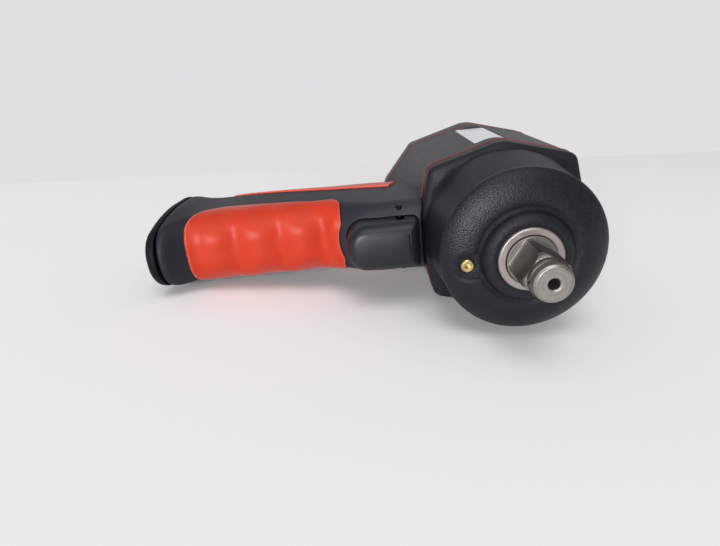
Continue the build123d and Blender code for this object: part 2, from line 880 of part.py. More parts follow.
# Front grip: red rubber with three soft finger swells, moulded into the handle
with BuildPart() as grip_front:
    fine_step = finger_pitch / 4
    loft(handle_sections(-grip_top - fine_step, handle_bottom, fine_step, grip_proud, finger_bulge))
    add(front_pocket.part, mode=Mode.INTERSECT)
save(grip_front, "grip_front")

# Back grip: a red strip down the palm side, whose tip runs up to the barrel
with BuildPart() as grip_back:
    loft(handle_sections(handle_top, handle_bottom, section_step, grip_proud))
    add(back_pocket.part, mode=Mode.INTERSECT)
    loft([plain_outline(housing_front), flared_outline(housing_rear)], ruled=True, mode=Mode.SUBTRACT)
save(grip_back, "grip_back")

# Motor housing: barrel and handle in one composite moulding, bored for the motor and the air
with BuildPart() as motor_housing:
    loft(handle_sections(handle_top, handle_bottom, section_step))
    add(front_pocket.part, mode=Mode.SUBTRACT)
    add(back_pocket.part, mode=Mode.SUBTRACT)
    loft([plain_outline(housing_front), flared_outline(housing_rear)], ruled=True)
    brow_cut = plain_outline(housing_front, moving_gap)
    extrude(brow_cut, amount=trigger_front - housing_front, mode=Mode.SUBTRACT)
    rod(housing_front, lip_front, chamber_radius, mode=Mode.SUBTRACT)
    rod(lip_front, motor_front, lip_radius, mode=Mode.SUBTRACT)
    rod(motor_front, housing_rear, motor_radius, mode=Mode.SUBTRACT)
    for x, z in bolt_points:
        rod(housing_front, housing_rear, bolt_radius + bolt_clearance, x, z, mode=Mode.SUBTRACT)
    extrude(trigger_outline(0, moving_gap), amount=pocket_floor, mode=Mode.SUBTRACT)
    rod(pocket_floor, seat_station, bush_radius, trigger_x, mode=Mode.SUBTRACT)
    rod(seat_station, chamber_rear, chamber_bore, trigger_x, mode=Mode.SUBTRACT)
    with Locations(Plane(origin=(trigger_x, transfer_station, 0), z_dir=(1, 0, 0))):
        Cylinder(
            transfer_radius,
            spool_x - trigger_x,
            align=(Align.CENTER, Align.CENTER, Align.MIN),
            mode=Mode.SUBTRACT,
        )
    rod(transfer_station - transfer_radius, spool_front, transfer_radius, spool_x, mode=Mode.SUBTRACT)
    rod(spool_front, housing_rear, spool_radius + running_gap, spool_x, mode=Mode.SUBTRACT)
    handle_bore(-trigger_x, handle_bottom, inlet_radius, inlet_offset)
    handle_bore(handle_bottom - bushing_engagement, handle_bottom, bushing_body_radius, inlet_offset)
    half_width = exhaust_half_width
    handle_duct(exhaust_top, handle_bottom, exhaust_near, exhaust_far, -half_width, half_width)
    for inner, outer in ((duct_inner, duct_outer), (-duct_outer, -duct_inner)):
        handle_duct(0, duct_foot, duct_near, duct_far, inner, outer)
        handle_duct(duct_turn, duct_foot, duct_near, exhaust_near + duct_outer - duct_inner, inner, outer)
    with BuildSketch(Plane.XY.offset(label_floor)):
        with Locations((label_x, (label_front + label_rear) / 2)):
            RectangleRounded(label_width, label_rear - label_front, label_round)
    extrude(amount=gable_z - label_floor, mode=Mode.SUBTRACT)
    with Locations((trigger_pin_x, trigger_pin_y, 0)):
        Cylinder(trigger_pin_radius, 2 * handle_side, mode=Mode.SUBTRACT)
    with Locations(handle_plane(inlet_pin_station, 0, handle_side)):
        Cylinder(inlet_pin_radius, 2 * inlet_pin_depth, rotation=(90, 0, 0), mode=Mode.SUBTRACT)
save(motor_housing, "motor_housing")

with BuildPart() as label_plate:
    with BuildSketch(Plane.XY.offset(label_floor)):
        with Locations((label_x, (label_front + label_rear) / 2)):
            RectangleRounded(label_width - 2 * seat_gap, label_rear - label_front - 2 * seat_gap, label_round)
    extrude(amount=label_plate_height)
save(label_plate, "label_plate")

# Rear cap: closes the motor, with sunk screw heads and a recess for the direction knob
with BuildPart() as rear_cap:
    extrude(flared_outline(cap_front), amount=cap_thickness)
    fillet(rear_cap.faces().sort_by(Axis.Y)[-1].edges(), cap_round)
    rod(motor_rear, cap_front, motor_radius - seat_gap)
    rod(motor_rear, cap_rear - cap_wall, motor_radius - cap_rim, mode=Mode.SUBTRACT)
    rod(cap_front, knob_floor, stub_radius + running_gap, spool_x, mode=Mode.SUBTRACT)
    rod(knob_floor, cap_rear, knob_radius + moving_gap, spool_x, mode=Mode.SUBTRACT)
    for x, z in bolt_points:
        rod(cap_front, bolt_seat, bolt_radius + bolt_clearance, x, z, mode=Mode.SUBTRACT)
        rod(bolt_seat, cap_rear, bolt_head_radius + moving_gap, x, z, mode=Mode.SUBTRACT)
save(rear_cap, "rear_cap")

# Four long socket-head screws from the rear cap into the case, each on a spring washer
with BuildPart() as case_bolts:
    head_seat = bolt_seat + washer_height
    for x, z in bolt_points:
        rod(case_length - bolt_thread + axial_gap, head_seat, bolt_radius, x, z)
        rod(head_seat, head_seat + bolt_head_height, bolt_head_radius, x, z)
    with BuildSketch(across(head_seat + bolt_head_height)):
        with Locations(*bolt_points):
            RegularPolygon(bolt_socket / 2, 6, major_radius=False)
    extrude(amount=-bolt_head_height / 2, mode=Mode.SUBTRACT)
save(case_bolts, "case_bolts")

with BuildPart() as bolt_washers:
    for x, z in bolt_points:
        rod(bolt_seat, head_seat, bolt_head_radius, x, z)
        rod(bolt_seat, head_seat, bolt_radius + bolt_clearance, x, z, mode=Mode.SUBTRACT)
save(bolt_washers, "bolt_washers")

# Reverse valve: a ported spool turned by the knob, sealed by a rubber ring on its stub
with BuildPart() as reverse_valve:
    rod(spool_front, spool_rear - axial_gap, spool_radius, spool_x)
    stub_rear = knob_floor + axial_gap + knob_height / 2
    rod(spool_rear - axial_gap, stub_rear, stub_radius, spool_x)
    block(
        (spool_x - stub_radius, knob_floor, stub_flat),
        (spool_x + stub_radius, stub_rear, stub_radius),
        mode=Mode.SUBTRACT,
    )
    stub_seal_station = (cap_front + knob_floor) / 2
    stub_groove = turned_face(
        (stub_radius - seal_wire, stub_seal_station - seal_wire / 2),
        (spool_radius, stub_seal_station - seal_wire / 2),
        (spool_radius, stub_seal_station + seal_wire / 2),
        (stub_radius - seal_wire, stub_seal_station + seal_wire / 2),
    ).moved(Location((spool_x, 0, 0)))
    revolve(stub_groove, axis=Axis((spool_x, 0, 0), (0, 1, 0)), mode=Mode.SUBTRACT)
    rod(spool_front, spool_rear - spool_radius, spool_bore, spool_x, mode=Mode.SUBTRACT)
    block(
        (spool_x, spool_front + spool_radius, -spool_bore),
        (spool_x + spool_radius, spool_rear - 2 * spool_radius, spool_bore),
        mode=Mode.SUBTRACT,
    )
    rod(stub_rear - knob_screw_length / 2, stub_rear, knob_screw_radius, spool_x, mode=Mode.SUBTRACT)
save(reverse_valve, "reverse_valve")

with BuildPart() as reverse_seal:
    with Locations(across(stub_seal_station, spool_x)):
        Torus(stub_radius - seal_wire / 2, seal_wire / 2)
save(reverse_seal, "reverse_seal")

# Direction knob: a dial with a raised thumb bar, keyed to the valve by a flat
with BuildPart() as direction_knob:
    knob_front = knob_floor + axial_gap
    knob_rear = knob_front + knob_height
    rod(knob_front, knob_rear, knob_radius, spool_x)
    for side in (-1, 1):
        near = knob_grip_width / 2
        block(
            (spool_x - knob_radius, knob_rear - knob_grip_depth, min(side * near, side * knob_radius)),
            (spool_x + knob_radius, knob_rear, max(side * near, side * knob_radius)),
            mode=Mode.SUBTRACT,
        )
    with BuildSketch(across(knob_front, spool_x)):
        Circle(stub_radius)
        with Locations((0, -stub_flat)):
            Rectangle(2 * stub_radius, stub_radius, align=(Align.CENTER, Align.MAX), mode=Mode.SUBTRACT)
    extrude(amount=stub_rear - knob_front, mode=Mode.SUBTRACT)
    rod(stub_rear, knob_rear, knob_screw_radius, spool_x, mode=Mode.SUBTRACT)
    rod(knob_rear - knob_screw_radius, knob_rear, knob_screw_head, spool_x, mode=Mode.SUBTRACT)
    fillet(direction_knob.edges().group_by(Axis.Y)[0], knob_edge)
save(direction_knob, "direction_knob")

with BuildPart() as knob_screw:
    screw_seat = knob_rear - knob_screw_radius
    rod(stub_rear - knob_screw_length / 2 + axial_gap, screw_seat, knob_screw_radius, spool_x)
    rod(screw_seat, knob_rear - axial_gap, knob_screw_head, spool_x)
    block(
        (spool_x - knob_screw_head, knob_rear - knob_screw_radius / 2, -axial_gap),
        (spool_x + knob_screw_head, knob_rear, axial_gap),
        mode=Mode.SUBTRACT,
    )
save(knob_screw, "knob_screw")

# Trigger: a hollow moulding with a rounded face, held in by a cross pin that runs in its slots
with BuildPart() as trigger:
    extrude(trigger_outline(trigger_front), amount=trigger_depth)
    fillet(trigger.faces().sort_by(Axis.Y)[0].edges(), trigger_face_round)
    hollow = trigger_outline(trigger_front + trigger_face, -trigger_wall)
    extrude(hollow, amount=trigger_depth - trigger_face, mode=Mode.SUBTRACT)
    rod(trigger_front + trigger_face, trigger_rear, stem_boss_radius, trigger_x)
    rod(trigger_rear - stem_grip, trigger_rear, stem_radius, trigger_x, mode=Mode.SUBTRACT)
    with BuildSketch(Plane.XY.offset(-trigger_side)):
        with Locations((trigger_pin_x, trigger_pin_y - trigger_travel / 2)):
            SlotCenterToCenter(trigger_travel, 2 * (trigger_pin_radius + moving_gap), rotation=90)
    extrude(amount=2 * trigger_side, mode=Mode.SUBTRACT)
save(trigger, "trigger")

with BuildPart() as trigger_pin:
    with Locations((trigger_pin_x, trigger_pin_y, 0)):
        Cylinder(trigger_pin_radius, 2 * trigger_pin_half)
save(trigger_pin, "trigger_pin")

# Trigger stem: the steel rod that carries the trigger's push to the throttle valve
with BuildPart() as trigger_stem:
    rod(trigger_rear - stem_grip, seat_station + valve_face_height + valve_head, stem_radius, trigger_x)
save(trigger_stem, "trigger_stem")

# Throttle bush: guides the stem, passes the air round it and seats the valve
with BuildPart() as throttle_bush:
    rod(pocket_floor, seat_station, bush_radius, trigger_x)
    rod(pocket_floor, seat_station, stem_radius + running_gap, trigger_x, mode=Mode.SUBTRACT)
    rod(pocket_floor + bush_guide, seat_station, bush_throat, trigger_x, mode=Mode.SUBTRACT)
    with Locations(Plane(origin=(trigger_x, transfer_station, 0), z_dir=(1, 0, 0))):
        Cylinder(
            transfer_radius,
            bush_radius,
            align=(Align.CENTER, Align.CENTER, Align.MIN),
            mode=Mode.SUBTRACT,
        )
    seal_station = pocket_floor + bush_guide / 2
    groove_front = seal_station - seal_wire / 2
    groove_rear = seal_station + seal_wire / 2
    rod(groove_front, groove_rear, bush_radius, trigger_x, mode=Mode.SUBTRACT)
    rod(groove_front, groove_rear, bush_radius - seal_wire, trigger_x)
    rod(pocket_floor, seat_station, stem_radius + running_gap, trigger_x, mode=Mode.SUBTRACT)
save(throttle_bush, "throttle_bush")

with BuildPart() as bush_seal:
    with Locations(across(seal_station, trigger_x)):
        Torus(bush_radius - seal_wire / 2, seal_wire / 2)
save(bush_seal, "bush_seal")

# Throttle valve: a rubber-faced disc on the stem, pushed off its seat by the trigger
with BuildPart() as valve_face:
    face_front = seat_station + running_gap
    face_rear = seat_station + valve_face_height
    rod(face_front, face_rear, valve_radius, trigger_x)
    rod(face_front, face_rear, stem_radius, trigger_x, mode=Mode.SUBTRACT)
save(valve_face, "valve_face")

with BuildPart() as throttle_valve:
    valve_front = seat_station + valve_face_height
    valve_rear = valve_front + valve_head
    spring_guide = spring_radius - spring_wire / 2 - axial_gap
    rod(valve_front, valve_rear, valve_radius, trigger_x)
    rod(valve_rear, valve_rear + valve_head, spring_guide, trigger_x)
    rod(valve_front, valve_rear, stem_radius, trigger_x, mode=Mode.SUBTRACT)
save(throttle_valve, "throttle_valve")

# Valve spring: closes the throttle against the end of its chamber
with BuildPart() as valve_spring:
    coil_front = valve_rear + spring_wire / 2 + running_gap
    coil_length = chamber_rear - spring_wire / 2 - running_gap - coil_front
    coil_pitch = coil_length / spring_turns
    with BuildLine() as coil:
        Helix(coil_pitch, coil_length, spring_radius, center=(trigger_x, coil_front, 0), direction=(0, 1, 0))
    with BuildSketch(Plane(coil.line ^ 0)):
        Circle(spring_wire / 2)
    sweep(path=coil.line, is_frenet=True)
save(valve_spring, "valve_spring")

# Muffler: a porous pad at the end of the exhaust duct
with BuildPart() as muffler:
    handle_duct(
        handle_bottom - seat_gap - muffler_height,
        handle_bottom - seat_gap,
        exhaust_near + seat_gap,
        exhaust_far - seat_gap,
        seat_gap - exhaust_half_width,
        exhaust_half_width - seat_gap,
        mode=Mode.ADD,
    )
save(muffler, "muffler")

# Exhaust cover: closes the handle behind a narrow groove and lets the air out through slots
with BuildPart() as exhaust_cover:
    extrude(handle_section(handle_end), amount=handle_bottom + cover_gap - handle_end)
    fillet(exhaust_cover.faces().sort_by(handle_axis)[-1].edges(), end_round)
    extrude(handle_section(handle_bottom, -2 * cover_gap), amount=2 * cover_gap)
    handle_bore(handle_bottom, handle_end, bushing_body_radius + seat_gap, inlet_offset)
    for i in range(slot_count):
        middle = (i - (slot_count - 1) / 2) * slot_pitch
        handle_duct(
            handle_bottom,
            handle_end,
            exhaust_near,
            exhaust_far,
            middle - slot_width / 2,
            middle + slot_width / 2,
        )
save(exhaust_cover, "exhaust_cover")

# Inlet bushing: screwed into the housing, it clamps the cover and takes the air fitting
with BuildPart() as inlet_bushing:
    inlet_inner = handle_bottom - bushing_engagement + seal_wire
    inlet_outer = handle_end + inlet_hex_height
    handle_bore(inlet_inner, handle_end, bushing_body_radius, inlet_offset, mode=Mode.ADD)
    with BuildSketch(handle_plane(handle_end, inlet_offset)):
        RegularPolygon(inlet_hex / 2, 6, major_radius=False, rotation=30)
    extrude(amount=inlet_hex_height)
    handle_bore(inlet_outer - inlet_thread_length, inlet_outer, inlet_thread_radius, inlet_offset)
    handle_bore(inlet_inner, inlet_outer, inlet_throat_radius, inlet_offset)
    handle_bore(inlet_inner, inlet_inner + screen_height, inlet_radius, inlet_offset)
save(inlet_bushing, "inlet_bushing")

with BuildPart() as inlet_seal:
    with Locations(handle_plane(inlet_inner - seal_wire / 2, inlet_offset)):
        Torus(bushing_body_radius - seal_wire / 2, seal_wire / 2)
save(inlet_seal, "inlet_seal")

# Inlet screen: a pierced cup that keeps grit out of the throttle
with BuildPart() as inlet_screen:
    handle_bore(inlet_inner, inlet_inner + screen_height, inlet_radius, inlet_offset, mode=Mode.ADD)
    handle_bore(
        inlet_inner + screen_wall,
        inlet_inner + screen_height,
        inlet_radius - screen_wall,
        inlet_offset,
    )
    with BuildSketch(handle_plane(inlet_inner, inlet_offset)):
        Circle(screen_wall)
        with PolarLocations(inlet_radius / 2, 6):
            Circle(screen_wall)
    extrude(amount=screen_wall, mode=Mode.SUBTRACT)
save(inlet_screen, "inlet_screen")

with BuildPart() as inlet_pin:
    with Locations(handle_plane(inlet_pin_station, 0, handle_side - inlet_pin_depth / 2)):
        Cylinder(inlet_pin_radius, inlet_pin_depth, rotation=(90, 0, 0))
save(inlet_pin, "inlet_pin")
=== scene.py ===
# %% [markdown]
# # An air impact wrench on a white bench
# The solids come from a CAD model that already has the true shapes and sizes. This lesson dresses
# them: a camera that stands where the photographer stood, a pale bench and soft light, one finish
# for each real material, and a few small pieces that are easier to grow than to draw.

# %% Load the solids
import json
from math import cos, hypot, pi, radians

import bmesh
import bpy
from mathutils import Matrix, Vector


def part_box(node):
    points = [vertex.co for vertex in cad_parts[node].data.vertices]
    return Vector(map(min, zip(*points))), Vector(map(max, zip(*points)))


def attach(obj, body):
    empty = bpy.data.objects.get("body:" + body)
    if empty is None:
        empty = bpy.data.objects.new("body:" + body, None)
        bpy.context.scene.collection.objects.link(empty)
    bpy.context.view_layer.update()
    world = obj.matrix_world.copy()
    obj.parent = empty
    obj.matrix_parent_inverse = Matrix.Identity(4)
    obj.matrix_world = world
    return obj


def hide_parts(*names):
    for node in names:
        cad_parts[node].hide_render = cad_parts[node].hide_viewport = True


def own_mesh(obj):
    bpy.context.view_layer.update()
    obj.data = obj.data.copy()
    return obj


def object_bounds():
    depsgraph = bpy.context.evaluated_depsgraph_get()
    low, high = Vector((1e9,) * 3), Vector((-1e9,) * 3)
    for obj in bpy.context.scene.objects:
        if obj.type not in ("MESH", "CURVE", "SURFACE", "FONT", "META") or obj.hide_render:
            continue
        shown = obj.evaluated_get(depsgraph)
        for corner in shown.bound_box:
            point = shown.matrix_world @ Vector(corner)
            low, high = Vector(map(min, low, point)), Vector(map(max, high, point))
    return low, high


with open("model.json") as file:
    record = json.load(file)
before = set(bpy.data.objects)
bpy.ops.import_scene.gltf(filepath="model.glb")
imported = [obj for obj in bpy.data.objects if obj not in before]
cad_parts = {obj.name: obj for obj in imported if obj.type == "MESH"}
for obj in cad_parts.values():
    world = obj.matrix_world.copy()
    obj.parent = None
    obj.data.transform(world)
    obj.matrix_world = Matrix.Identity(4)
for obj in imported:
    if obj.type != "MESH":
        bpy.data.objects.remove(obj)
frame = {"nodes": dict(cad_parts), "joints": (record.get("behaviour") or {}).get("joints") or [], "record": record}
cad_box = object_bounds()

nodes = frame["nodes"]
joints = {joint["name"]: joint for joint in frame["joints"]}
mounts = {mount["name"]: mount for mount in frame["record"]["mounts"]}
MM = 0.001

# %% [markdown]
# ## Camera
# The picture was taken from close by with a wide lens, which makes the square drive look large and
# the handle short. A camera further away with a longer lens could frame the tool as well, but it would
# flatten it, so the eye stays near and the lens stays short. The small roll is the photographer's.

# %% Place the camera
PHOTO_WIDTH = 720
FOCAL_PIXELS = 519.35
EYE = Vector((-61.11, -166.03, 59.62)) * MM
SIGHT = Vector((0.01386, 0.93040, -0.36627))
ROLL = radians(1.264)

lens = bpy.data.cameras.new("photographer")
lens.sensor_width = 36
lens.lens = lens.sensor_width * FOCAL_PIXELS / PHOTO_WIDTH
lens.clip_start = 5 * MM
camera = bpy.data.objects.new("photographer", lens)
camera.matrix_world = (
    Matrix.Translation(EYE)
    @ SIGHT.to_track_quat("-Z", "Y").to_matrix().to_4x4()
    @ Matrix.Rotation(ROLL, 4, "Z")
)
bpy.context.scene.collection.objects.link(camera)
bpy.context.scene.camera = camera
print("lens", round(lens.lens, 2), "mm")

# %% [markdown]
# ## Shader arithmetic
# Finishes are built from textures that are added, scaled and masked. Wiring Math nodes by hand hides
# the formula, so a small class wraps a socket and lets Python's own operators add the nodes. One
# method makes every other kind of node: its type, its settings, then what goes into its sockets.

# %% A socket that can be calculated with
class Value:
    """An output socket of a shader tree that takes part in Python arithmetic."""

    def __init__(self, socket):
        self.socket = socket
        self.tree = socket.id_data

    def node(self, kind, settings=None, sockets=None, output=0):
        """Any other node of the tree: its type, its settings, the values or links of its sockets."""
        made = self.tree.nodes.new(kind)
        for name, setting in (settings or {}).items():
            setattr(made, name, setting)
        for key, source in (sockets or {}).items():
            if isinstance(source, Value):
                self.tree.links.new(source.socket, made.inputs[key])
            else:
                made.inputs[key].default_value = source
        return Value(made.outputs[output])

    def maths(self, operation, first, second=0.0):
        return self.node("ShaderNodeMath", {"operation": operation}, {0: first, 1: second})

    def __add__(self, other):
        return self.maths("ADD", self, other)

    __radd__ = __add__

    def __mul__(self, other):
        return self.maths("MULTIPLY", self, other)

    __rmul__ = __mul__

    def __sub__(self, other):
        return self.maths("SUBTRACT", self, other)

    def __rsub__(self, other):
        return self.maths("SUBTRACT", other, self)

    def __pow__(self, other):
        return self.maths("POWER", self, other)


# %% [markdown]
# ## What every finish shares
# Each finish starts from the object's own coordinates, in metres, so a pattern keeps its real size and
# stays on the surface when a piece moves. Moulded and machined edges are never knife-sharp: a Bevel
# node bends the light round them, and the difference between its normal and the true one shows where
# the edges are, which is where coatings rub through.

# %% Start a finish, and its usual ingredients
class Finish:
    """A material, its shader and the two things that its patterns start from."""

    def __init__(self, name, edge_radius):
        self.material = bpy.data.materials.new(name)
        self.material.use_nodes = True
        tree = self.material.node_tree
        self.shader = tree.nodes["Principled BSDF"]
        coordinates = tree.nodes.new("ShaderNodeTexCoord")
        self.place = Value(coordinates.outputs["Object"])
        self.rounded = self.place.node("ShaderNodeBevel", {"samples": 4}, {"Radius": edge_radius})

    def axis(self, index):
        """One coordinate of the surface, in metres: 0 for X, 1 for Y, 2 for Z."""
        return self.place.node("ShaderNodeSeparateXYZ", None, {0: self.place}, index)

    def noise(self, size, detail=2.0, place=None):
        """Soft random grain whose lumps are about as wide as size, between 0 and 1."""
        sockets = {"Vector": place or self.place, "Scale": 1 / size, "Detail": detail}
        return self.place.node("ShaderNodeTexNoise", None, sockets)

    def cells(self, size):
        """Distance to the nearest of many scattered points, about size apart."""
        return self.place.node("ShaderNodeTexVoronoi", None, {"Vector": self.place, "Scale": 1 / size})

    def step(self, value, low, high):
        """A soft step from 0 at low to 1 at high."""
        ends = {"Value": value, "From Min": low, "From Max": high}
        return self.place.node("ShaderNodeMapRange", {"interpolation_type": "SMOOTHSTEP"}, ends)

    def edges(self, gain):
        """About 1 along the edges and 0 on the faces between them."""
        true = self.place.node("ShaderNodeNewGeometry", output="Normal")
        agree = self.place.node(
            "ShaderNodeVectorMath", {"operation": "DOT_PRODUCT"}, {0: true, 1: self.rounded}, "Value"
        )
        return self.place.node("ShaderNodeClamp", None, {"Value": (1 - agree) * gain})

    def blend(self, share, first, second):
        """A colour between two colours."""
        sockets = {"Factor": share, 6: first, 7: second}
        return self.place.node("ShaderNodeMix", {"data_type": "RGBA"}, sockets, 2)

    def bump(self, height, depth):
        """The rounded normal, roughened by a height pattern that is depth metres deep."""
        sockets = {"Height": height, "Distance": depth, "Normal": self.rounded}
        return self.place.node("ShaderNodeBump", None, sockets)

    def set(self, **sockets):
        """Constants and patterns for the shader; Base_Color stands for the socket Base Color."""
        for name, source in sockets.items():
            target = self.shader.inputs[name.replace("_", " ")]
            if isinstance(source, Value):
                self.place.tree.links.new(source.socket, target)
            else:
                target.default_value = source
        return self.material


def wear(material, *names):
    """Put a finish on CAD solids, whole."""
    for name in names:
        slots = nodes[name].data.materials
        slots.clear()
        slots.append(material)
    print(material.name, "on", ", ".join(names))


# %% [markdown]
# ## Black powder coat on the hammer case
# The front casting is sprayed with a powder that melts into tiny pebbles, so its dome glitters finely.
# Two scales of grain give the pebbles, and where they stand up the coat is painted a touch paler, a
# painted glint. Behind the groove the casting was turned before it was coated, so there the grain fades
# into a duller satin. Cast edges are rounder than machined ones, so the bevel is wide here.

# %% Pebbled and smooth black coat
COOL = (0.90, 0.92, 1.0, 1)
coat = Finish("case_powder_coat", 2.4 * MM)
PEBBLES_END, SATIN_START = 9.5 * MM, 12.5 * MM
pebbled = 1 - coat.step(coat.axis(1), PEBBLES_END, SATIN_START)
pebbles = coat.cells(0.55 * MM)
grit = coat.noise(0.30 * MM, 2.0)
relief = (1 - pebbles) * 0.55 + grit * 0.45
# pebble tops painted paler: a painted glint, strongest on the pebbled dome
pebble_glint = coat.step(relief, 0.45, 0.8) * (pebbled * 0.8 + 0.2)
dust = coat.noise(14 * MM, 4.0)
tone = coat.blend(pebble_glint, (0.004, 0.004, 0.005, 1), (0.014, 0.014, 0.018, 1))
# paler dust and paler edges: the dust is real, and the edges are partly rubbed coat, partly a painted highlight
tone = coat.blend(coat.edges(5.0) * 0.14 + dust * 0.12, tone, (0.034, 0.035, 0.041, 1))
wear(
    coat.set(
        Base_Color=tone,
        Roughness=0.46 - pebbled * 0.15 + grit * 0.08,
        Specular_IOR_Level=0.25,
        Specular_Tint=COOL,
        Normal=coat.bump(relief * (pebbled * 0.92 + 0.08), 0.17 * MM),
    ),
    "hammer_case",
)

# %% [markdown]
# ## Dark composite of the housing
# Barrel and handle are one moulding of glass-filled nylon: satin, dark grey, coloured a little bluer and
# darker down the handle. The mould was spark-eroded, which leaves a matt skin of fine dimples.
# Short glass fibres lie in it along the flow and show as a faint streak in the gloss.

# %% Spark-eroded nylon
nylon = Finish("housing_composite", 0.6 * MM)
dimples = nylon.noise(0.30 * MM, 2.0)
stretched = nylon.place.node(
    "ShaderNodeMapping", None, {"Vector": nylon.place, "Scale": (0.22, 1.0, 1.0)}
)
fibres = nylon.noise(0.9 * MM, 3.0, stretched)
HANDLE_TOP, HANDLE_MIDDLE = -30 * MM, -75 * MM
# from 0 on the barrel to 1 down the handle, which is coloured darker and bluer
down_handle = 1 - nylon.step(nylon.axis(0), HANDLE_MIDDLE, HANDLE_TOP)
smudge = nylon.noise(22 * MM, 3.0)
skin = nylon.blend(down_handle, (0.022, 0.021, 0.023, 1), (0.008, 0.008, 0.013, 1))
skin = nylon.blend(dimples * 0.25 + fibres * 0.2, skin, (0.024, 0.024, 0.029, 1))
skin = nylon.blend(nylon.edges(4.0) * 0.4, skin, (0.055, 0.055, 0.061, 1))
wear(
    nylon.set(
        Base_Color=skin,
        Roughness=0.40 + smudge * 0.12 + down_handle * 0.04 + fibres * 0.06,
        Specular_IOR_Level=0.24,
        Specular_Tint=COOL,
        Normal=nylon.bump(dimples * 0.7 + fibres * 0.3, 0.035 * MM),
    ),
    "motor_housing",
)

# %% [markdown]
# ## Red rubber grips
# The grips are a soft rubber moulded over the nylon, orange-red with a broad sheen. Their rounded
# edges are painted pink, a painted highlight, and their skin has the finest of grains.

# %% Moulded red rubber
rubber = Finish("grip_red_rubber", 1.1 * MM)
skin_grain = rubber.noise(0.25 * MM, 2.0)
clouds = rubber.noise(9 * MM, 3.0)
red = rubber.blend(clouds, (0.37, 0.021, 0.0055, 1), (0.41, 0.028, 0.0075, 1))
# rounded edges painted pale pink: a painted highlight
red = rubber.blend(rubber.edges(6.0) * 0.55, red, (0.86, 0.24, 0.20, 1))
wear(
    rubber.set(
        Base_Color=red,
        Roughness=0.36 + skin_grain * 0.10 + clouds * 0.05,
        Normal=rubber.bump(skin_grain, 0.018 * MM),
        Specular_IOR_Level=0.20,
        Sheen_Weight=0.12,
        Sheen_Roughness=0.45,
    ),
    "grip_front",
    "grip_back",
)

# %% [markdown]
# ## Finger swells
# Three fingers lie in soft swells with a narrow hollow between them. The solid has a gentle wave there.
# The photograph's swells are a little longer and their hollows crisper, so a copy of the solid is moved
# point by point and stands in its place. Its sides and ends stay put, where the rubber meets the nylon.
# A displacing texture could do this too, but a formula in the handle's own directions is easier to read.

# %% A copy of a solid that can be moved point by point
SAME_POINT = 0.002 * MM
SHARP_EDGE = radians(40)


def smooth(value, low, high):
    """A soft step from 0 at low to 1 at high."""
    share = min(max((value - low) / (high - low), 0.0), 1.0)
    return share * share * (3 - 2 * share)


def reshape(name, node, move=None, refine=None):
    """A copy of a solid; refine may cut its faces finer, and move then shifts each point."""
    shell = bmesh.new()
    shell.from_mesh(nodes[node].data)
    bmesh.ops.remove_doubles(shell, verts=shell.verts, dist=SAME_POINT)
    if refine:
        refine(shell)
    if move:
        for vertex in shell.verts:
            vertex.co += move(vertex.co)
    mesh = bpy.data.meshes.new(name)
    shell.to_mesh(mesh)
    shell.free()
    mesh.shade_smooth()
    mesh.set_sharp_from_angle(angle=SHARP_EDGE)
    mesh.materials.append(nodes[node].data.materials[0])
    piece = bpy.data.objects.new(name, mesh)
    bpy.context.scene.collection.objects.link(piece)
    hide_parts(node)
    print(name, len(mesh.polygons), "faces")
    return piece


# %% Swells down the front of the handle
down = Vector(mounts["air_inlet"]["axis"]).normalized()
rearward = Vector((0, 1, 0))
ahead = (down * down.y - rearward).normalized()
across = down.cross(ahead)
SOLID_PITCH, SOLID_CREST, SOLID_BULGE = 18 * MM, 93.2 * MM, 0.6 * MM
FINGER_PITCH, FINGER_CREST, FINGER_DEPTH = 19.15 * MM, 86.95 * MM, 2.6 * MM
HOLLOW = 0.2
END_STILL, END_FREE = 1 * MM, 8 * MM
SIDE_FREE, SIDE_STILL = 6 * MM, 14 * MM
grip_points = [vertex.co.dot(down) for vertex in nodes["grip_front"].data.vertices]
grip_start, grip_stop = min(grip_points), max(grip_points)


def finger_swell(point):
    """From the solid's wave to the fingers' swells, fading towards the grip's edges."""
    s = point.dot(down)
    wave = SOLID_BULGE * cos(2 * pi * (s - SOLID_CREST) / SOLID_PITCH)
    swell = hypot(cos(pi * (s - FINGER_CREST) / FINGER_PITCH), HOLLOW) - 2 / pi
    inside = smooth(s, grip_start + END_STILL, grip_start + END_FREE)
    inside *= smooth(-s, END_STILL - grip_stop, END_FREE - grip_stop)
    middle = 1 - smooth(abs(point.dot(across)), SIDE_FREE, SIDE_STILL)
    return ahead * (FINGER_DEPTH * swell - wave) * inside * middle


finger_grip = reshape("finger_grip", "grip_front", finger_swell)
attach(finger_grip, "housing")

# %% [markdown]
# ## Steel of the drive
# The anvil is turned, then its square is milled and the whole is browned by heat. A tool that feeds
# along or across a spinning bar leaves rings, so the marks depend only on the distance from the axis
# and the place along it. The square is browned most and the round journal behind it about half as much,
# while the edges and the round tip are rubbed bright.

# %% Turning marks round the drive axis
def turned_steel(name, pale, dark, ring_size):
    """Steel turned about the drive axis: a finish, its rings and its mottled colour."""
    steel = Finish(name, 0.35 * MM)
    x, y, z = (steel.axis(i) for i in range(3))
    radius = (x * x + z * z) ** 0.5
    spiral = steel.place.node("ShaderNodeCombineXYZ", None, {0: radius, 1: y})
    rings = steel.noise(ring_size, 4.0, spiral)
    mottle = steel.noise(3.5 * MM, 4.0)
    colour = steel.blend(steel.step(rings * 0.75 + mottle * 0.25, 0.35, 0.65), dark, pale)
    return steel, rings, mottle, colour


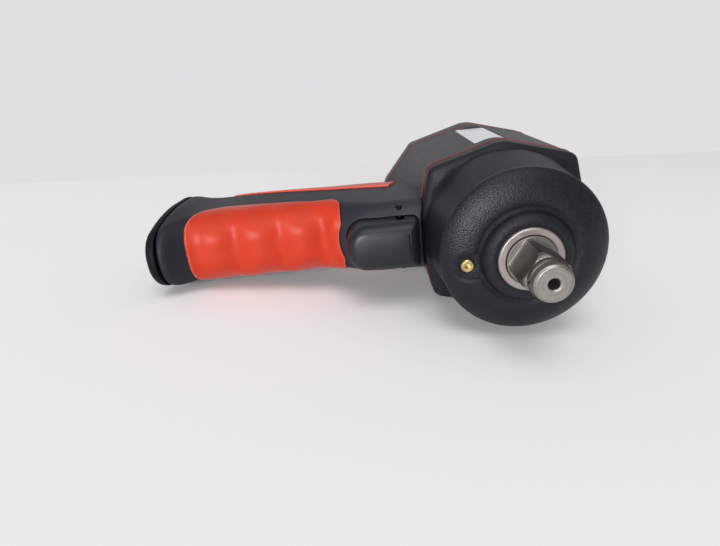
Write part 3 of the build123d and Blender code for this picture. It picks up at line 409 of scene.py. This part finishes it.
drive, rings, mottle, colour = turned_steel(
    "drive_steel", (0.37, 0.355, 0.33, 1), (0.24, 0.225, 0.205, 1), 0.22 * MM
)
RING_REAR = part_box("friction_ring")[1].y
SQUARE_REAR = -2.6 * MM
journal = drive.step(drive.axis(1), SQUARE_REAR - 0.3 * MM, SQUARE_REAR + 0.3 * MM)
browned = drive.step(drive.axis(1), RING_REAR, RING_REAR + 1.5 * MM) * (1 - journal * 0.55)
colour = drive.blend(browned * (0.75 + mottle * 0.25), colour, (0.045, 0.041, 0.039, 1))
colour = drive.blend(drive.edges(5.0) * 0.7, colour, (0.56, 0.54, 0.52, 1))
wear(
    drive.set(
        Base_Color=colour,
        Metallic=1.0,
        Roughness=0.30 + mottle * 0.12 + rings * 0.10 + browned * 0.08,
        Normal=drive.bump(rings, 0.012 * MM),
    ),
    "anvil",
)

# %% [markdown]
# The bushing is sintered steel that has taken a pinkish tint, and the split friction ring is spring
# steel that was blued and has since gone brown. Both are turned parts, so they reuse the rings.

# %% Bushing and friction ring
bushing, rings, mottle, colour = turned_steel(
    "bushing_steel", (0.44, 0.385, 0.37, 1), (0.30, 0.258, 0.247, 1), 0.3 * MM
)
colour = bushing.blend(bushing.edges(5.0) * 0.6, colour, (0.66, 0.62, 0.60, 1))
wear(
    bushing.set(
        Base_Color=colour,
        Metallic=1.0,
        Roughness=0.38 + mottle * 0.14,
        Normal=bushing.bump(rings, 0.01 * MM),
    ),
    "anvil_bushing",
)
spring_ring, rings, mottle, colour = turned_steel(
    "ring_spring_steel", (0.14, 0.115, 0.098, 1), (0.07, 0.056, 0.048, 1), 0.2 * MM
)
colour = spring_ring.blend(spring_ring.edges(5.0) * 0.6, colour, (0.34, 0.31, 0.29, 1))
wear(
    spring_ring.set(
        Base_Color=colour,
        Metallic=1.0,
        Roughness=0.36 + mottle * 0.15,
        Normal=spring_ring.bump(rings, 0.008 * MM),
    ),
    "friction_ring",
)

# %% [markdown]
# ## Small metal on the outside
# The grease fitting is brass, the label place is a bare sheet of satin aluminium, and the screws and
# pins are chemically blackened. The label is brushed along its length: noise that is stretched in
# one direction makes hairlines. Its printing is left off, so only the brushed sheet remains.

# %% Brass, brushed sheet, black screws
def plain_metal(name, pale, dark, roughness, grain=1.2 * MM):
    """Metal with cloudy colour and brighter edges."""
    metal = Finish(name, 0.25 * MM)
    cloud = metal.noise(grain, 4.0)
    tint = metal.blend(metal.step(cloud, 0.35, 0.65), dark, pale)
    tint = metal.blend(metal.edges(5.0) * 0.5, tint, tuple(min(1.0, 1.4 * c) for c in pale))
    return metal.set(
        Base_Color=tint,
        Metallic=1.0,
        Roughness=roughness + cloud * 0.14,
        Normal=metal.bump(cloud, 0.01 * MM),
    )


wear(
    plain_metal("fitting_brass", (0.60, 0.48, 0.25, 1), (0.46, 0.35, 0.15, 1), 0.28),
    "grease_fitting",
)
wear(
    plain_metal("blackened_steel", (0.085, 0.085, 0.090, 1), (0.040, 0.040, 0.044, 1), 0.36),
    "case_bolts",
    "bolt_washers",
    "knob_screw",
)
wear(
    plain_metal("pin_black", (0.016, 0.016, 0.017, 1), (0.008, 0.008, 0.009, 1), 0.45),
    "trigger_pin",
    "inlet_pin",
)
wear(
    plain_metal("zinc_plate", (0.52, 0.52, 0.53, 1), (0.40, 0.40, 0.41, 1), 0.30),
    "inlet_bushing",
)

sheet = Finish("label_sheet", 0.3 * MM)
along = sheet.place.node("ShaderNodeMapping", None, {"Vector": sheet.place, "Scale": (1.0, 0.03, 1.0)})
hairlines = sheet.noise(0.12 * MM, 2.0, along)
breath = sheet.noise(6 * MM, 3.0)
silver = sheet.blend(hairlines * 0.7 + breath * 0.3, (0.62, 0.64, 0.65, 1), (0.80, 0.82, 0.83, 1))
wear(
    sheet.set(
        Base_Color=silver,
        Metallic=0.45,
        Roughness=0.36 + hairlines * 0.12 + breath * 0.10,
        Normal=sheet.bump(hairlines, 0.006 * MM),
    ),
    "label_plate",
)

# %% [markdown]
# ## Black mouldings and the gaskets
# Trigger, knob and exhaust cover are black plastic with a finer skin than the housing, and the rear cap
# is a casting with a smooth black coat. The gaskets are red fibre sheet of which only the cut edge shows.

# %% Satin blacks and the red edge
def black_moulding(name, dark, pale, roughness, grain, depth, specular=0.5):
    """Satin black: a fine skin, cloudy gloss and paler edges."""
    black = Finish(name, 0.5 * MM)
    fine = black.noise(grain, 2.0)
    gloss = black.noise(12 * MM, 3.0)
    shade = black.blend(fine * 0.5 + gloss * 0.3, dark, pale)
    shade = black.blend(black.edges(4.0) * 0.4, shade, tuple(min(1.0, 2.2 * c) for c in pale))
    return black.set(
        Base_Color=shade,
        Roughness=roughness + gloss * 0.14,
        Normal=black.bump(fine, depth),
        Specular_IOR_Level=specular,
        Specular_Tint=COOL,
    )


wear(
    black_moulding(
        "trigger_black",
        (0.005, 0.005, 0.006, 1),
        (0.013, 0.013, 0.015, 1),
        roughness=0.36,
        grain=0.28 * MM,
        depth=0.02 * MM,
        specular=0.38,
    ),
    "trigger",
)
wear(
    black_moulding(
        "knob_black",
        (0.006, 0.006, 0.007, 1),
        (0.015, 0.015, 0.017, 1),
        roughness=0.36,
        grain=0.28 * MM,
        depth=0.02 * MM,
        specular=0.3,
    ),
    "direction_knob",
)
wear(
    black_moulding(
        "cover_black",
        (0.003, 0.003, 0.0035, 1),
        (0.008, 0.008, 0.009, 1),
        roughness=0.50,
        grain=0.35 * MM,
        depth=0.03 * MM,
        specular=0.10,
    ),
    "exhaust_cover",
)
wear(
    black_moulding(
        "cap_black",
        (0.010, 0.0105, 0.012, 1),
        (0.024, 0.025, 0.028, 1),
        roughness=0.38,
        grain=0.5 * MM,
        depth=0.04 * MM,
        specular=0.3,
    ),
    "rear_cap",
)

fibre = Finish("gasket_red_fibre", 0.15 * MM)
fluff = fibre.noise(0.4 * MM, 4.0)
wear(
    fibre.set(
        Base_Color=fibre.blend(fluff, (0.10, 0.013, 0.013, 1), (0.20, 0.035, 0.034, 1)),
        Roughness=0.70 + fluff * 0.15,
        Normal=fibre.bump(fluff, 0.05 * MM),
    ),
    "front_gasket",
    "rear_gasket",
)

# %% [markdown]
# ## Crowned trigger
# The trigger's face is crowned, so that it rolls in the finger instead of cutting it, and the crown
# catches a soft light along its upper third. On the solid the face is flat inside its rounded edge. A flat
# face has too few points to bend, so it is first cut into small triangles, and then pushed forward.

# %% Crown the trigger's face
upright = Vector(joints["front_hammer_rock"]["pos_m"]).normalized()
sideways = upright.cross(rearward)
trigger_points = [vertex.co for vertex in nodes["trigger"].data.vertices]
trigger_low = min(point.dot(upright) for point in trigger_points)
trigger_high = max(point.dot(upright) for point in trigger_points)
trigger_half = max(abs(point.dot(sideways)) for point in trigger_points)
trigger_face = min(point.y for point in trigger_points)
CROWN = 1.7 * MM
EDGE_ROUND = 3 * MM
FACE_STEP = 0.8 * MM
FACE_DEPTH = 0.01 * MM


def cut_face(shell):
    """Split the long edges of the trigger's flat face until all are short."""
    flat = trigger_face + FACE_DEPTH
    while True:
        face_edges = [edge for edge in shell.edges if all(vertex.co.y < flat for vertex in edge.verts)]
        long = [edge for edge in face_edges if edge.calc_length() > FACE_STEP]
        if not long:
            break
        bmesh.ops.subdivide_edges(shell, edges=long, cuts=1)
        bmesh.ops.triangulate(shell, faces=[face for face in shell.faces if len(face.verts) > 3])


def trigger_crown(point):
    """Forward, most in the middle of the face."""
    height = (2 * point.dot(upright) - trigger_low - trigger_high) / (trigger_high - trigger_low)
    width = point.dot(sideways) / trigger_half
    depth = 1 - smooth(point.y, trigger_face + EDGE_ROUND / 2, trigger_face + 2 * EDGE_ROUND)
    return -rearward * CROWN * (1 - height**4) * (1 - width**2) * depth


trigger_shoe = reshape("trigger_shoe", "trigger", trigger_crown, cut_face)
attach(trigger_shoe, "trigger")

# %% [markdown]
# ## Finishes inside the tool
# Nothing inside shows while the tool is closed, but the parts are used on their own too. Hardened
# steel, bearing steel, iron, brass, wire, rubber, felt and the resin of the vanes each get their own.

# %% Inner metals
wear(
    plain_metal("clutch_steel", (0.36, 0.35, 0.34, 1), (0.22, 0.21, 0.205, 1), 0.30, 4 * MM),
    "hammer_cage",
    "hammer_pins",
    "front_hammer",
    "rear_hammer",
    "thrust_washer",
)
wear(
    plain_metal("motor_steel", (0.56, 0.56, 0.56, 1), (0.42, 0.42, 0.43, 1), 0.24, 3 * MM),
    "rotor",
    "cylinder",
    "cylinder_dowel",
    "trigger_stem",
    "reverse_valve",
)
wear(
    plain_metal("bearing_steel", (0.66, 0.66, 0.67, 1), (0.56, 0.56, 0.58, 1), 0.12, 2 * MM),
    *[f"{end}_bearing_{ring}" for end in ("front", "rear") for ring in ("outer", "inner", "balls")],
)
wear(
    plain_metal("plate_iron", (0.30, 0.30, 0.31, 1), (0.19, 0.19, 0.20, 1), 0.42, 1.5 * MM),
    "front_end_plate",
    "rear_end_plate",
)
wear(
    plain_metal("valve_brass", (0.74, 0.57, 0.24, 1), (0.56, 0.41, 0.15, 1), 0.28),
    "throttle_bush",
    "throttle_valve",
)
wear(
    plain_metal("drawn_wire", (0.58, 0.58, 0.60, 1), (0.44, 0.44, 0.46, 1), 0.26, 0.6 * MM),
    "valve_spring",
    "inlet_screen",
)

# %% [markdown]
# ## The valve spring
# The throttle's spring sits between the valve and the end of its chamber. When the trigger is pulled the
# valve comes closer and the coils close up. A solid that rides one body can't do that. A copy of the spring
# with a mesh of its own stands in for it and rides the housing, at its full length.

# %% Copy the valve spring
coil = reshape("valve_coil", "valve_spring")
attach(coil, "housing")
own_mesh(coil)

# %% Rubber seals, resin vanes and felt
wear(
    black_moulding(
        "seal_rubber",
        (0.010, 0.010, 0.010, 1),
        (0.024, 0.024, 0.024, 1),
        roughness=0.55,
        grain=0.3 * MM,
        depth=0.02 * MM,
    ),
    "ring_cushion",
    "reverse_seal",
    "bush_seal",
    "valve_face",
    "inlet_seal",
)
resin = Finish("vane_resin", 0.2 * MM)
lengthwise = resin.place.node(
    "ShaderNodeMapping", None, {"Vector": resin.place, "Scale": (1, 0.05, 1)}
)
layers = resin.noise(0.25 * MM, 2.0, lengthwise)
wear(
    resin.set(
        Base_Color=resin.blend(layers, (0.10, 0.052, 0.022, 1), (0.21, 0.12, 0.055, 1)),
        Roughness=0.48 + layers * 0.15,
        Normal=resin.bump(layers, 0.02 * MM),
    ),
    "rotor_vanes",
)
felt = Finish("muffler_felt", 0.4 * MM)
tangle = felt.noise(0.5 * MM, 6.0)
wear(
    felt.set(
        Base_Color=felt.blend(tangle, (0.18, 0.175, 0.16, 1), (0.40, 0.39, 0.36, 1)),
        Roughness=0.92,
        Normal=felt.bump(tangle, 0.25 * MM),
    ),
    "muffler",
)

# %% [markdown]
# ## Ribs on the direction knob
# A thumb turns the knob by the bar across it, and the bar's two flanks are ribbed so that an oily glove
# can hold it. Equal ribs at equal steps are work for Geometry Nodes: a grid that is two points wide
# gives a place on each flank, and a thin rod stands on every one.

# %% A node tree for rows of ribs
def geometry_tree(name, inputs):
    """An empty Geometry Nodes tree with named inputs; returns the tree and its input node."""
    tree = bpy.data.node_groups.new(name, "GeometryNodeTree")
    for label, kind in inputs:
        tree.interface.new_socket(label, in_out="INPUT", socket_type=kind)
    tree.interface.new_socket("Geometry", in_out="OUTPUT", socket_type="NodeSocketGeometry")
    return tree, tree.nodes.new("NodeGroupInput")


def finish_tree(tree, geometry, material):
    """End a tree the way every tree here ends: real mesh, one material."""
    real = tree.nodes.new("GeometryNodeRealizeInstances")
    painted = tree.nodes.new("GeometryNodeSetMaterial")
    out = tree.nodes.new("NodeGroupOutput")
    tree.links.new(geometry, real.inputs["Geometry"])
    tree.links.new(real.outputs["Geometry"], painted.inputs["Geometry"])
    tree.links.new(material, painted.inputs["Material"])
    tree.links.new(painted.outputs["Geometry"], out.inputs["Geometry"])


def grow(tree, name, values, place):
    """Run a tree with the given inputs and return its mesh as a plain object, set in its place."""
    seed = bpy.data.objects.new(name + "_seed", bpy.data.meshes.new(name + "_seed"))
    bpy.context.scene.collection.objects.link(seed)
    modifier = seed.modifiers.new("grow", "NODES")
    modifier.node_group = tree
    for item in tree.interface.items_tree:
        if item.in_out == "INPUT" and item.name in values:
            modifier[item.identifier] = values[item.name]
    evaluated = seed.evaluated_get(bpy.context.evaluated_depsgraph_get())
    mesh = bpy.data.meshes.new_from_object(evaluated)
    seed.modifiers.remove(modifier)
    bpy.data.objects.remove(seed)
    mesh.transform(place)
    shell = bmesh.new()
    shell.from_mesh(mesh)
    bmesh.ops.recalc_face_normals(shell, faces=shell.faces)
    shell.to_mesh(mesh)
    shell.free()
    piece = bpy.data.objects.new(name, mesh)
    bpy.context.scene.collection.objects.link(piece)
    print(name, len(mesh.polygons), "faces")
    return piece


rib_tree, rib_in = geometry_tree(
    "flank_ribs",
    [
        ("Bar width", "NodeSocketFloat"),
        ("Row length", "NodeSocketFloat"),
        ("Ribs", "NodeSocketInt"),
        ("Rib radius", "NodeSocketFloat"),
        ("Rib height", "NodeSocketFloat"),
        ("Material", "NodeSocketMaterial"),
    ],
)
grid = rib_tree.nodes.new("GeometryNodeMeshGrid")
grid.inputs["Vertices X"].default_value = 2
rod = rib_tree.nodes.new("GeometryNodeMeshCylinder")
rod.inputs["Vertices"].default_value = 10
stand = rib_tree.nodes.new("GeometryNodeInstanceOnPoints")
for source, target in (
    (rib_in.outputs["Bar width"], grid.inputs["Size X"]),
    (rib_in.outputs["Row length"], grid.inputs["Size Y"]),
    (rib_in.outputs["Ribs"], grid.inputs["Vertices Y"]),
    (rib_in.outputs["Rib radius"], rod.inputs["Radius"]),
    (rib_in.outputs["Rib height"], rod.inputs["Depth"]),
    (grid.outputs["Mesh"], stand.inputs["Points"]),
    (rod.outputs["Mesh"], stand.inputs["Instance"]),
):
    rib_tree.links.new(source, target)
finish_tree(rib_tree, stand.outputs["Instances"], rib_in.outputs["Material"])

# %% [markdown]
# The knob's middle is the axis of its joint, and the bar lies along the head's own upright direction,
# which the joint of a hammer gives: that pin is straight above the drive axis.

# %% Set the ribs on the knob's bar
knob_axis = Vector(joints["direction_turn"]["pos_m"])
knob_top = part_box("direction_knob")[1].y
BAR_WIDTH = 3.6 * MM
BAR_HEIGHT = 5.0 * MM
RIB_HEIGHT = 4.0 * MM
rib_middle = Vector((knob_axis.x, knob_top - BAR_HEIGHT + RIB_HEIGHT / 2, knob_axis.z))
on_knob = Matrix.Translation(rib_middle) @ Matrix((sideways, upright, rearward)).transposed().to_4x4()
knob_ribs = grow(
    rib_tree,
    "knob_ribs",
    {
        "Bar width": BAR_WIDTH,
        "Row length": 11 * MM,
        "Ribs": 8,
        "Rib radius": 0.4 * MM,
        "Rib height": RIB_HEIGHT,
        "Material": nodes["direction_knob"].data.materials[0],
    },
    on_knob,
)
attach(knob_ribs, "direction")

# %% [markdown]
# ## Thread of the air inlet
# The solid has a plain hole at the thread's inner size. A spiral with a small four-sided profile, laid on
# the wall of that hole, gives the ridge of the thread. Where the hole is and which way it points come from
# the record's mount, so the thread follows the part if the handle ever changes.

# %% Wind a ridge inside the inlet
thread_tree, thread_in = geometry_tree(
    "thread_ridge",
    [
        ("Radius", "NodeSocketFloat"),
        ("Turns", "NodeSocketFloat"),
        ("Length", "NodeSocketFloat"),
        ("Ridge", "NodeSocketFloat"),
        ("Material", "NodeSocketMaterial"),
    ],
)
spiral = thread_tree.nodes.new("GeometryNodeCurveSpiral")
spiral.inputs["Resolution"].default_value = 48
profile = thread_tree.nodes.new("GeometryNodeCurvePrimitiveCircle")
profile.inputs["Resolution"].default_value = 4
wound = thread_tree.nodes.new("GeometryNodeCurveToMesh")
wound.inputs["Fill Caps"].default_value = True
for source, target in (
    (thread_in.outputs["Turns"], spiral.inputs["Rotations"]),
    (thread_in.outputs["Radius"], spiral.inputs["Start Radius"]),
    (thread_in.outputs["Radius"], spiral.inputs["End Radius"]),
    (thread_in.outputs["Length"], spiral.inputs["Height"]),
    (thread_in.outputs["Ridge"], profile.inputs["Radius"]),
    (spiral.outputs["Curve"], wound.inputs["Curve"]),
    (profile.outputs["Curve"], wound.inputs["Profile Curve"]),
):
    thread_tree.links.new(source, target)
finish_tree(thread_tree, wound.outputs["Mesh"], thread_in.outputs["Material"])

THREAD_PITCH = 25.4 / 18 * MM
LEAD_IN = 1.2 * MM
RIDGE = 0.42 * MM
inlet = mounts["air_inlet"]
inlet_radius = inlet["dims"]["r_mm"] * MM
thread_length = inlet["dims"]["length_mm"] * MM - 2 * LEAD_IN
mouth = Vector(inlet["pos_m"])
outward = Vector(inlet["axis"]).normalized()
thread_start = mouth - outward * (thread_length + LEAD_IN)
into_inlet = Matrix.Translation(thread_start) @ outward.to_track_quat("Z", "Y").to_matrix().to_4x4()
inlet_thread = grow(
    thread_tree,
    "inlet_thread",
    {
        "Radius": inlet_radius,
        "Turns": thread_length / THREAD_PITCH,
        "Length": thread_length,
        "Ridge": RIDGE,
        "Material": nodes["inlet_bushing"].data.materials[0],
    },
    into_inlet,
)
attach(inlet_thread, "housing")

# %% [markdown]
# ## Bench, light and background
# The photograph has a white bench against a pale wall. A low window in front and to the left gives the
# dome, the swells and the trigger their highlights, and a large light high up in front keeps the shadows
# pale. The bench is matt and ends where the wall begins. The wall could be a sheet, but it would hide the
# tool from behind, so the world's own colour stands for it. The camera sees it paler than the light that
# it sends on to the tool, and glossy pieces mirror it only towards the back, which keeps the blacks deep.

# %% White bench
floor_level = cad_box[0][2]
bench_mesh = bpy.data.meshes.new("bench")
BACK_EDGE = ((-1.20, -0.05), (2.00, 1.12))
FRONT_EDGE = ((2.00, -0.60), (-1.20, -0.60))
corners = [(x, y, floor_level) for x, y in BACK_EDGE + FRONT_EDGE]
bench_mesh.from_pydata(corners, [], [(3, 2, 1, 0)])
bench = bpy.data.objects.new("bench", bench_mesh)
bpy.context.scene.collection.objects.link(bench)
bench_top = Finish("bench_white", 0.1 * MM)
veil = bench_top.noise(300 * MM, 2.0)
bench_mesh.materials.append(
    bench_top.set(
        Base_Color=bench_top.blend(veil, (0.86, 0.86, 0.865, 1), (0.89, 0.885, 0.885, 1)),
        Roughness=0.75 + veil * 0.1,
        Specular_IOR_Level=0.0,
    )
)
print("bench at", round(floor_level / MM, 2), "mm")

# %% Soft lamps
def soft_lamp(name, place, target, size, power):
    """A square lamp with soft edges, turned towards a point."""
    lamp = bpy.data.lights.new(name, "AREA")
    lamp.size = size
    lamp.energy = power
    holder = bpy.data.objects.new(name, lamp)
    holder.location = place
    holder.rotation_euler = (Vector(target) - Vector(place)).to_track_quat("-Z", "Y").to_euler()
    bpy.context.scene.collection.objects.link(holder)
    print(name, power, "W")


middle = (-0.05, 0.05, 0.0)
soft_lamp("window", (-1.80, -4.55, 0.95), middle, size=1.8, power=320.0)
soft_lamp("ceiling", (-0.30, -2.05, 4.00), middle, size=2.6, power=79.0)

# %% Background
world = bpy.data.worlds.new("studio")
bpy.context.scene.world = world
world.use_nodes = True
sky = world.node_tree
rays = sky.nodes.new("ShaderNodeLightPath")
seen = Value(rays.outputs["Is Camera Ray"])
mirrored = Value(rays.outputs["Is Glossy Ray"]) + Value(rays.outputs["Is Transmission Ray"])
direction = Value(sky.nodes.new("ShaderNodeTexCoord").outputs["Generated"])
depth = seen.node("ShaderNodeSeparateXYZ", None, {0: direction}, 1)
on_wall = seen.node("ShaderNodeMapRange", None, {"Value": depth, "From Min": 0.3, "From Max": 0.8})
seen = seen.maths("MAXIMUM", seen, mirrored * on_wall)
background = sky.nodes["Background"]
LIGHT_LEVEL = 0.38
WALL_LEVEL = 0.76
background.inputs["Color"].default_value = (0.985, 0.985, 1.0, 1)
strength = seen * (WALL_LEVEL - LIGHT_LEVEL) + LIGHT_LEVEL
sky.links.new(strength.socket, background.inputs["Strength"])
print("wall", WALL_LEVEL, "light", LIGHT_LEVEL)

# %% View settings
bpy.context.scene.view_settings.view_transform = "Standard"
